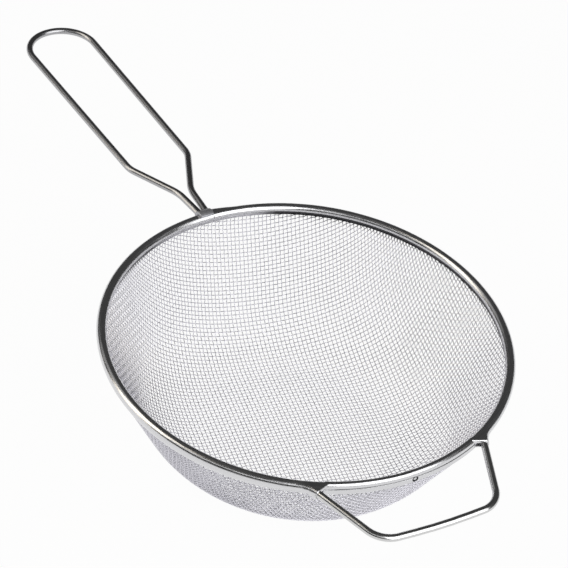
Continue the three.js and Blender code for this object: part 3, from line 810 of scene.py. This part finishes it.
taper = math.atan2(END[0] - SHOULDER[0], END[1] - SHOULDER[1])
end_bend = (END[0] - END_FLAT) / math.tan(math.pi / 4 + taper / 2)
handle_half = [
    (in_handle(ROOT_HALF, ROOT_REACH), 0),
    (in_handle(NECK[0], NECK[1]), NECK[2]),
    (in_handle(SHOULDER[0], SHOULDER[1]), SHOULDER[2]),
    (in_handle(*END), end_bend),
]
handle_rest = [(mirrored(point), bend) for point, bend in reversed(handle_half)]


def press_ring(centre, wide, high):
    """Flattens or rounds the selected ring of the rod."""
    bpy.ops.transform.resize(value=(wide, 1, high), center_override=centre)


root = handle_half[0][0]
root_way = (handle_half[1][0] - root).normalized()
root_round = root + root_way * PRESSED
long_handle = start_rod("long_handle_rod", root, root_way)
press_ring(root, PRESSED_WIDE, PRESSED_HIGH)
bpy.ops.mesh.extrude_region_move(TRANSFORM_OT_translate={"value": root_way * PRESSED})
press_ring(root_round, 1 / PRESSED_WIDE, 1 / PRESSED_HIGH)
push_rod([(root_round, 0), *handle_half[1:], *handle_rest[:-1], (mirrored(root_round), 0)])
bpy.ops.mesh.extrude_region_move(TRANSFORM_OT_translate={"value": mirrored(root - root_round)})
press_ring(mirrored(root), PRESSED_WIDE, PRESSED_HIGH)
close_rod(long_handle)

# Satin stainless rod: drawn through a die and left with its fine lines along the rod, duller than the rim.
# The lines are drawn a third of a millimetre wide, coarser than real ones, so that they show.
handle_steel, tree, shader = start_material("satin_stainless_rod", 1.0)
shader.inputs["Base Color"].default_value = linear("#aaaaac")
DIE_LINE_WIDTH = 0.0003
DIE_LINE_LENGTH = 0.012
place = add_node(tree, "ShaderNodeTexCoord")
line_scale = (1 / DIE_LINE_WIDTH, 1 / DIE_LINE_LENGTH, 1 / DIE_LINE_WIDTH)
line_place = add_node(
    tree, "ShaderNodeVectorMath", {"operation": "MULTIPLY"}, {1: line_scale}, {0: place.outputs["Object"]},
)
lines = add_node(
    tree, "ShaderNodeTexNoise", {}, {"Scale": 1.0, "Detail": 3.0}, {"Vector": line_place.outputs["Vector"]},
)
gloss = add_node(
    tree, "ShaderNodeMapRange", {}, {"From Min": 0.3, "From Max": 0.7, "To Min": 0.2, "To Max": 0.34},
    {"Value": lines.outputs["Fac"]},
)
tree.links.new(gloss.outputs["Result"], shader.inputs["Roughness"])
long_handle.data.materials.append(handle_steel)
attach(long_handle, "root")
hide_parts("long_handle")


# Weld pad. The ends of the long handle's rod, pressed flat over the bead and spot welded to it.
# The heat left it matte and grey beside the polished rim.
PAD_WIDTH = 0.0073
PAD_PLACE = -0.0008
PAD_THICK = 0.0018
PAD_OUTER = math.radians(-28)
PAD_INNER = math.radians(128)
PAD_SOFT = 0.0004

bpy.ops.object.select_all(action="DESELECT")
middle = CROWN + PAD_THICK / 2
spot = (PAD_PLACE, HOOP_RADIUS + middle * math.cos(PAD_OUTER), HOOP_HEIGHT + middle * math.sin(PAD_OUTER))
bpy.ops.mesh.primitive_plane_add(size=1, location=spot, rotation=(PAD_OUTER, 0, 0))
weld = bpy.context.object
weld.name = weld.data.name = "weld_pad"
weld.scale = (PAD_WIDTH, PAD_THICK, 1)
bpy.ops.object.transform_apply(location=True, rotation=True, scale=True)
bpy.ops.object.mode_set(mode="EDIT")
bpy.ops.mesh.select_all(action="SELECT")
bpy.ops.mesh.spin(
    steps=14, angle=PAD_OUTER - PAD_INNER, center=(0, HOOP_RADIUS, HOOP_HEIGHT), axis=(1, 0, 0),
)
bpy.ops.mesh.select_all(action="SELECT")
bpy.ops.mesh.remove_doubles(threshold=1e-6)
bpy.ops.mesh.normals_make_consistent(inside=False)
bpy.ops.object.mode_set(mode="OBJECT")
soft = weld.modifiers.new("soft_edge", "BEVEL")
soft.width = PAD_SOFT
soft.segments = 3
soft.limit_method = "ANGLE"
soft.angle_limit = math.radians(40)
bpy.ops.object.modifier_apply(modifier="soft_edge")
bpy.ops.object.shade_smooth_by_angle(angle=math.radians(50))

# Weld scale on stainless: dull grey oxide, faintly mottled and pitted.
# Its pits are about a third of a millimetre wide, and are drawn about a millimetre wide so that they show.
weld_steel, tree, shader = start_material("weld_scaled_stainless", 0.85)
WELD_PIT = 0.0011
place = add_node(tree, "ShaderNodeTexCoord")
mottle = add_node(
    tree, "ShaderNodeTexNoise", {}, {"Scale": 1 / WELD_PIT, "Detail": 4.0},
    {"Vector": place.outputs["Object"]},
)
tint = add_node(tree, "ShaderNodeValToRGB", {}, {}, {"Fac": mottle.outputs["Fac"]})
tint.color_ramp.elements[0].color = linear("#9fa0a5")
tint.color_ramp.elements[1].color = linear("#c4c5ca")
pits = add_node(
    tree, "ShaderNodeBump", {}, {"Strength": 0.35, "Distance": 0.0001}, {"Height": mottle.outputs["Fac"]},
)
tree.links.new(tint.outputs["Color"], shader.inputs["Base Color"])
tree.links.new(pits.outputs["Normal"], shader.inputs["Normal"])
shader.inputs["Roughness"].default_value = 0.55
weld.data.materials.append(weld_steel)
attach(weld, "root")
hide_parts("handle_weld")


# Floor. A plain white table that keeps the strainer's soft shadow.
bpy.ops.object.select_all(action="DESELECT")
bpy.ops.mesh.primitive_plane_add(size=30, location=(0, 0, 0))
floor = bpy.context.object
floor.name = "floor"

# Matte white board. It is lifted almost to pure white for the eye and for reflections, but not as a light.
TABLE_LIFT = 0.96
white_table, tree, shader = start_material("white_table", 0.0)
shader.inputs["Base Color"].default_value = linear("#f4f4f4")
shader.inputs["Roughness"].default_value = 0.9
shader.inputs["Specular IOR Level"].default_value = 0.1
rays = add_node(tree, "ShaderNodeLightPath")
mirrored_rays = add_node(
    tree, "ShaderNodeMath", {"operation": "MAXIMUM"}, {},
    {0: rays.outputs["Is Glossy Ray"], 1: rays.outputs["Is Transmission Ray"]},
)
seen = add_node(
    tree, "ShaderNodeMath", {"operation": "MAXIMUM"}, {},
    {0: rays.outputs["Is Camera Ray"], 1: mirrored_rays.outputs["Value"]},
)
lift = add_node(
    tree, "ShaderNodeMath", {"operation": "MULTIPLY"}, {1: TABLE_LIFT}, {0: seen.outputs["Value"]},
)
white = add_node(tree, "ShaderNodeEmission", {}, {"Color": (1, 1, 1, 1), "Strength": 1.0})
blend = add_node(
    tree, "ShaderNodeMixShader", {}, {},
    {0: lift.outputs["Value"], 1: shader.outputs["BSDF"], 2: white.outputs["Emission"]},
)
tree.links.new(blend.outputs["Shader"], tree.nodes["Material Output"].inputs["Surface"])
floor.data.materials.append(white_table)


# Studio. Two large soft lights, a weak one behind and a long strip behind the camera, in a dim room.
# The dark ceiling gives the polished steel its dark tops, and the lights draw the bright lines along it.
ROOM = 0.056
LIGHT_DISTANCE = 2.0
LIGHT_AIM = Vector((0, 0, 0.05))
world = bpy.context.scene.world or bpy.data.worlds.new("room")
bpy.context.scene.world = world
world.use_nodes = True
room = world.node_tree.nodes["Background"]
room.inputs["Color"].default_value = (1, 1, 1, 1)
room.inputs["Strength"].default_value = ROOM


def soft_light(name, azimuth, elevation, width, height, power, colour):
    """A soft light that faces the bowl, with its azimuth in degrees from +X and its sizes in metres."""
    bpy.ops.object.select_all(action="DESELECT")
    azimuth, elevation = math.radians(azimuth), math.radians(elevation)
    sideways = math.cos(elevation)
    away = Vector((sideways * math.cos(azimuth), sideways * math.sin(azimuth), math.sin(elevation)))
    turn = (-away).to_track_quat("-Z", "Y").to_euler()
    bpy.ops.object.light_add(type="AREA", location=LIGHT_AIM + away * LIGHT_DISTANCE, rotation=turn)
    lamp = bpy.context.object
    lamp.name = name
    lamp.data.shape = "RECTANGLE"
    lamp.data.size = width
    lamp.data.size_y = height
    lamp.data.energy = power
    lamp.data.color = linear(colour)[:3]


soft_light("right_light", 282, 34, 2.0, 2.4, 36, "#ffffff")
soft_light("left_light", 149, 31, 0.95, 2.3, 14, "#fff7e8")
soft_light("back_light", 124, 38, 1.3, 1.2, 1.4, "#ffffff")
soft_light("strip_light", 209, 42, 4.0, 0.25, 5, "#ffffff")


# Camera, looking down on the bowl from the helper handle's left.
TURN = -0.63758
TILT = 0.70919
ROLL = 0.15139
AIM_HEIGHT = RIM_HEIGHT - 0.00146
DISTANCE = 1.150
SHIFT_RIGHT, SHIFT_UP = -0.01109, 0.02526
SENSOR = 36
FOCAL_PIXELS = 2426.93
PICTURE_PIXELS = 568
back = Vector((math.sin(TURN) * math.cos(TILT), -math.cos(TURN) * math.cos(TILT), math.sin(TILT)))
across = Vector((math.cos(TURN), math.sin(TURN), 0))
upright = back.cross(across)
right = across * math.cos(ROLL) + upright * math.sin(ROLL)
up = upright * math.cos(ROLL) - across * math.sin(ROLL)
bpy.ops.object.camera_add()
camera = bpy.context.object
camera.location = Vector((0, 0, AIM_HEIGHT)) + back * DISTANCE + right * SHIFT_RIGHT + up * SHIFT_UP
camera.rotation_euler = Matrix((right, up, back)).transposed().to_euler()
camera.data.sensor_width = SENSOR
camera.data.lens = SENSOR * FOCAL_PIXELS / PICTURE_PIXELS
camera.data.clip_end = 20
bpy.context.scene.camera = camera
bpy.context.scene.view_settings.view_transform = "Standard"
